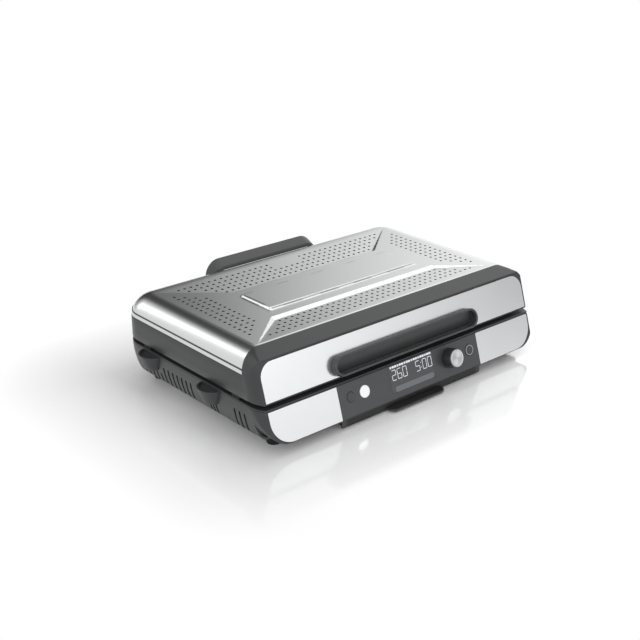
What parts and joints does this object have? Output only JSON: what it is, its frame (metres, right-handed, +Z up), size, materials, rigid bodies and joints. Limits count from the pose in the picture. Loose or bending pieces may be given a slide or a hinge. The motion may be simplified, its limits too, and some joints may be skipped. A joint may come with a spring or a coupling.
{
  "type": "indoor electric grill",
  "caption": "Low tabletop electric grill with a hinged perforated steel lid, a ribbed grill plate, a leaning control front with display and knob, and a slide-out drip tray.",
  "frame": {"origin": "on the table, under the middle of the grill's outer box, lid shut and tray in", "axes": "+X to the user's right, along the long side; +Y from the front controls to the hinges; +Z up"},
  "size_m": [0.492, 0.3233, 0.1213],
  "materials": {
    "stainless_skin": "brushed stainless sheet",
    "dark_moulding": "fine-grained charcoal moulding",
    "silver_panel": "satin silver coated panel",
    "control_fascia": "satin dark fascia",
    "smoked_lens": "polished smoked window",
    "display_block": "moulded display block",
    "circuit_board": "green coated laminate",
    "black_plastic": "plain black moulding",
    "galvanised_steel": "zinc coated pressed steel",
    "stainless_liner": "plain stainless sheet",
    "screw_steel": "bright machined steel",
    "hinge_steel": "black powder-coated steel",
    "rubber": "soft black rubber",
    "cast_plate": "non-stick coated cast aluminium",
    "element_sheath": "oxidised alloy sheath",
    "knob_skirt": "satin dark knob skirt",
    "spun_cap": "spun and anodised disc",
    "start_cap": "pale translucent cap",
    "button_cap": "satin dark cap",
    "tray_plastic": "smooth black moulding"
  },
  "bodies": {
    "base": {"base_housing": "dark_moulding", "deck": "dark_moulding", "base_bezel": "dark_moulding", "base_panel_left": "silver_panel", "base_panel_right": "silver_panel", "control_panel": "control_fascia", "display_lens": "smoked_lens", "display_module": "display_block", "control_board": "circuit_board", "button_switches": "black_plastic", "knob_encoder": "screw_steel", "grill_plate": "cast_plate", "heat_reflector": "galvanised_steel", "heating_element": "element_sheath", "element_supports": "galvanised_steel", "grease_chute": "galvanised_steel", "temperature_probe": "screw_steel", "thermal_fuse": "screw_steel", "power_board": "circuit_board", "cord_gland": "black_plastic", "bottom_cover": "galvanised_steel", "cover_screws": "screw_steel", "hinge_pins": "screw_steel", "hinge_bracket_left": "hinge_steel", "hinge_bracket_right": "hinge_steel", "tray_runner_left": "black_plastic", "tray_runner_right": "black_plastic", "foot_front_left": "rubber", "foot_front_right": "rubber", "foot_rear_left": "rubber", "foot_rear_right": "rubber", "lift_lug_front_left": "dark_moulding", "lift_lug_front_right": "dark_moulding", "lift_lug_rear_left": "dark_moulding", "lift_lug_rear_right": "dark_moulding"},
    "lid": {"lid_skin": "stainless_skin", "lid_frame": "dark_moulding", "lid_bezel": "dark_moulding", "lid_front_panel": "silver_panel", "lid_handle": "dark_moulding", "handle_clamps": "galvanised_steel", "clamp_screws": "screw_steel", "rear_handle": "dark_moulding", "strap_screws": "screw_steel", "splash_baffle": "stainless_liner", "baffle_posts": "screw_steel", "lid_pads": "rubber", "hinge_arm_left": "hinge_steel", "hinge_arm_right": "hinge_steel"},
    "knob": {"knob": "knob_skirt", "knob_cap": "spun_cap", "knob_shaft": "screw_steel"},
    "start_button": {"start_button": "start_cap"},
    "power_button": {"power_button": "button_cap"},
    "mode_button": {"mode_button": "button_cap"},
    "drip_tray": {"drip_tray": "tray_plastic"}
  },
  "joints": [
    {"name": "lid_hinge", "type": "hinge", "parent": "base", "child": "lid", "pos_m": [0, 0.156, 0.05795], "axis": [-1, 0, 0], "range_deg": [0, 85]},
    {"name": "tray_slide", "type": "slide", "parent": "base", "child": "drip_tray", "axis": [0, -1, 0], "range_m": [0, 0.16]},
    {"name": "knob_turn", "type": "hinge", "parent": "base", "child": "knob", "pos_m": [0.0663, -0.14428, 0.03614], "axis": [0, -0.9524, 0.3048], "continuous": true},
    {"name": "start_press", "type": "slide", "parent": "base", "child": "start_button", "axis": [0, 0.9524, -0.3048], "range_m": [0, 0.0012], "stiffness_N_per_m": 400},
    {"name": "power_press", "type": "slide", "parent": "base", "child": "power_button", "axis": [0, 0.9524, -0.3048], "range_m": [0, 0.0012], "stiffness_N_per_m": 400},
    {"name": "mode_press", "type": "slide", "parent": "base", "child": "mode_button", "axis": [0, 0.9524, -0.3048], "range_m": [0, 0.0012], "stiffness_N_per_m": 400}
  ]
}
